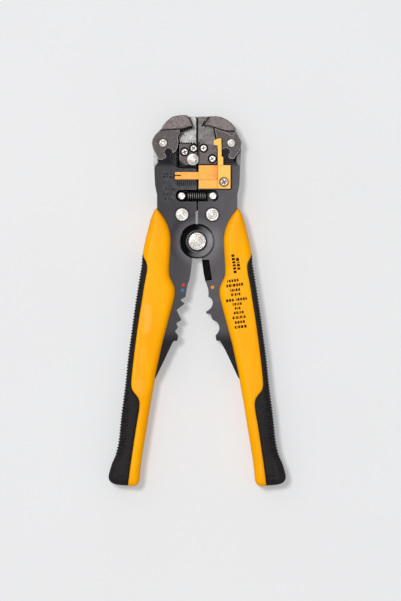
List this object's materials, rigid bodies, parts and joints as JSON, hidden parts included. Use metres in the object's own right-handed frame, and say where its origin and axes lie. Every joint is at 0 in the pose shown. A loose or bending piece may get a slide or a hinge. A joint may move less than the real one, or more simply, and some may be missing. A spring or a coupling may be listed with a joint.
{
  "type": "wire stripper",
  "caption": "Hand plier that grips and strips wire in a self-adjusting jaw head, with crimp nests and a cutter between its handles.",
  "frame": {"origin": "centre of the main pivot on the mid-plane of the tool, handles open", "axes": "+Z out of the front face along the pivot axis, +Y from the pivot towards the jaw head, +X to the right seen from the front"},
  "size_m": [0.0976, 0.2041, 0.019],
  "materials": {
    "plate_steel": "satin",
    "carrier_steel": "matte",
    "jaw_cast": "satin",
    "bright_steel": "polished",
    "blade_steel": "satin",
    "spring_steel": "gloss",
    "yellow_plastic": "gloss",
    "stop_plastic": "satin",
    "black_rubber": "matte",
    "red_paint": "gloss",
    "blue_paint": "gloss",
    "yellow_paint": "gloss"
  },
  "bodies": {
    "hub": {"main_pivot_pin": "bright_steel", "tension_spring": "spring_steel"},
    "carrier_left": {"left_carrier": "carrier_steel", "left_lower_jaw": "jaw_cast", "left_jaw_screws": "bright_steel", "keeper_stud": "bright_steel", "left_spring_post": "bright_steel", "left_jaw_pin": "bright_steel"},
    "carrier_right": {"right_carrier": "carrier_steel", "right_lower_jaw": "jaw_cast", "lower_strip_blade": "blade_steel", "right_jaw_screws": "bright_steel", "right_spring_post": "bright_steel", "right_jaw_pin": "bright_steel"},
    "lever_left": {"left_front_plate": "plate_steel", "left_back_plate": "plate_steel", "left_core": "plate_steel", "left_frame_rivet": "bright_steel", "left_grip": "yellow_plastic", "left_grip_rubber": "black_rubber", "marker_red": "red_paint", "marker_blue": "blue_paint"},
    "lever_right": {"right_front_plate": "plate_steel", "right_back_plate": "plate_steel", "right_core": "plate_steel", "right_frame_rivet": "bright_steel", "right_grip": "yellow_plastic", "right_grip_rubber": "black_rubber", "marker_yellow": "yellow_paint", "cutter_blade": "blade_steel"},
    "jaw_left": {"left_upper_jaw": "jaw_cast"},
    "jaw_right": {"right_upper_jaw": "jaw_cast", "upper_strip_blade": "blade_steel"},
    "length_stop": {"length_stop": "stop_plastic"},
    "lock_screw": {"stop_lock_screw": "bright_steel"}
  },
  "joints": [
    {"name": "strip_left", "type": "hinge", "parent": "hub", "child": "carrier_left", "pos_m": [0, 0, 0], "axis": [0, 0, 1], "range_deg": [0, 7.8], "deforming": ["tension_spring"]},
    {"name": "strip_right", "type": "hinge", "parent": "hub", "child": "carrier_right", "pos_m": [0, 0, 0], "axis": [0, 0, 1], "range_deg": [-7.8, 0]},
    {"name": "grip_left", "type": "hinge", "parent": "carrier_left", "child": "lever_left", "pos_m": [0, 0, 0], "axis": [0, 0, 1], "range_deg": [0, 2.95]},
    {"name": "grip_right", "type": "hinge", "parent": "carrier_right", "child": "lever_right", "pos_m": [0, 0, 0], "axis": [0, 0, 1], "range_deg": [-2.95, 0]},
    {"name": "jaw_left_close", "type": "hinge", "parent": "carrier_left", "child": "jaw_left", "pos_m": [-0.01875, 0.05407, 0], "axis": [0, 0, 1], "range_deg": [-26.46, 0]},
    {"name": "jaw_right_close", "type": "hinge", "parent": "carrier_right", "child": "jaw_right", "pos_m": [0.01875, 0.05407, 0], "axis": [0, 0, 1], "range_deg": [0, 26.46]},
    {"name": "stop_slide", "type": "slide", "parent": "lever_right", "child": "length_stop", "axis": [1, 0, 0], "range_m": [0, 0.008]},
    {"name": "stop_screw_turn", "type": "hinge", "parent": "length_stop", "child": "lock_screw", "pos_m": [0.01474, 0.0326, 0.008], "axis": [0, 0, 1], "range_deg": [0, 180]}
  ],
  "couplings": [
    {"joint": "strip_right", "follows": "strip_left", "ratio": -1},
    {"joint": "grip_right", "follows": "grip_left", "ratio": -1},
    {"joint": "jaw_left_close", "follows": "grip_left", "ratio": -8.9},
    {"joint": "jaw_right_close", "follows": "grip_left", "ratio": 8.9}
  ]
}
